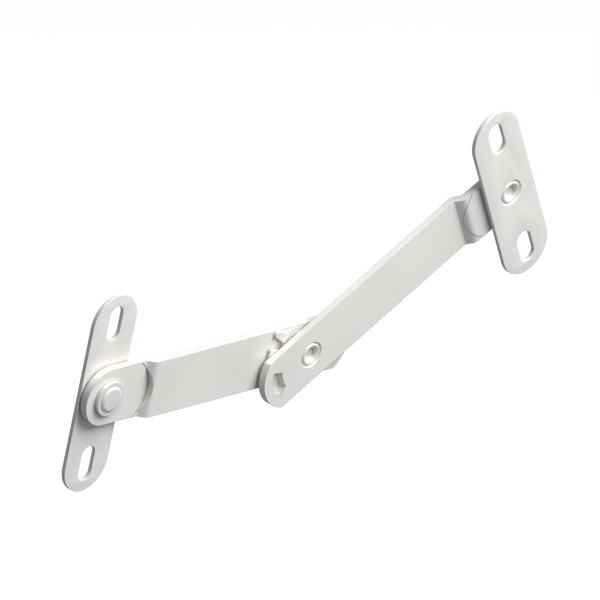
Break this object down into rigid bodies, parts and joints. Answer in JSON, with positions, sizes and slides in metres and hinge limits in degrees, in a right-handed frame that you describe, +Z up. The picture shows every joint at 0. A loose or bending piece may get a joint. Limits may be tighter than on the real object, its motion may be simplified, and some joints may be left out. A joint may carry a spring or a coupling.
{
  "type": "folding lid stay",
  "caption": "Folding lid stay of joggled flat steel arms riveted at an elbow with pressed stops, with a slotted mounting plate riveted to each outer end; shown fully open.",
  "frame": {"origin": "on the frame pivot's axis and at the centre of the frame plate's slot pattern, in the mounting face of the frame plate", "axes": "+X along the frame arm to the elbow, +Z up along the frame plate, +Y out of the mounting face into the frame it is screwed to; the layers of the stay follow each other towards -Y"},
  "size_m": [0.1785, 0.0141, 0.1],
  "materials": {
    "plated_sheet": "light warm-grey zinc-plated steel strip, satin, with sheared edges",
    "rivet_steel": "plated steel tubular rivet, satin, with a rolled tail",
    "washer_steel": "plated steel washer, satin"
  },
  "bodies": {
    "frame_side": {"frame_plate": "plated_sheet", "frame_rivet": "rivet_steel", "frame_spacer": "washer_steel", "frame_head_washer": "washer_steel"},
    "frame_side_arm": {"frame_arm": "plated_sheet"},
    "lid_side_arm": {"lid_arm": "plated_sheet", "elbow_rivet": "rivet_steel", "elbow_head_washer": "washer_steel", "elbow_spacer": "washer_steel"},
    "lid_side": {"lid_plate": "plated_sheet", "lid_rivet": "rivet_steel", "lid_head_washer": "washer_steel", "lid_spacer": "washer_steel"}
  },
  "joints": [
    {"name": "frame_pivot", "type": "hinge", "parent": "frame_side", "child": "frame_side_arm", "pos_m": [0, -0.003, 0], "axis": [0, -1, 0], "continuous": true},
    {"name": "elbow", "type": "hinge", "parent": "frame_side_arm", "child": "lid_side_arm", "pos_m": [0.08, -0.007, 0], "axis": [0, -1, 0], "range_deg": [0, 150]},
    {"name": "lid_pivot", "type": "hinge", "parent": "lid_side_arm", "child": "lid_side", "pos_m": [0.14928, -0.0125, 0.04], "axis": [0, -1, 0], "continuous": true}
  ]
}
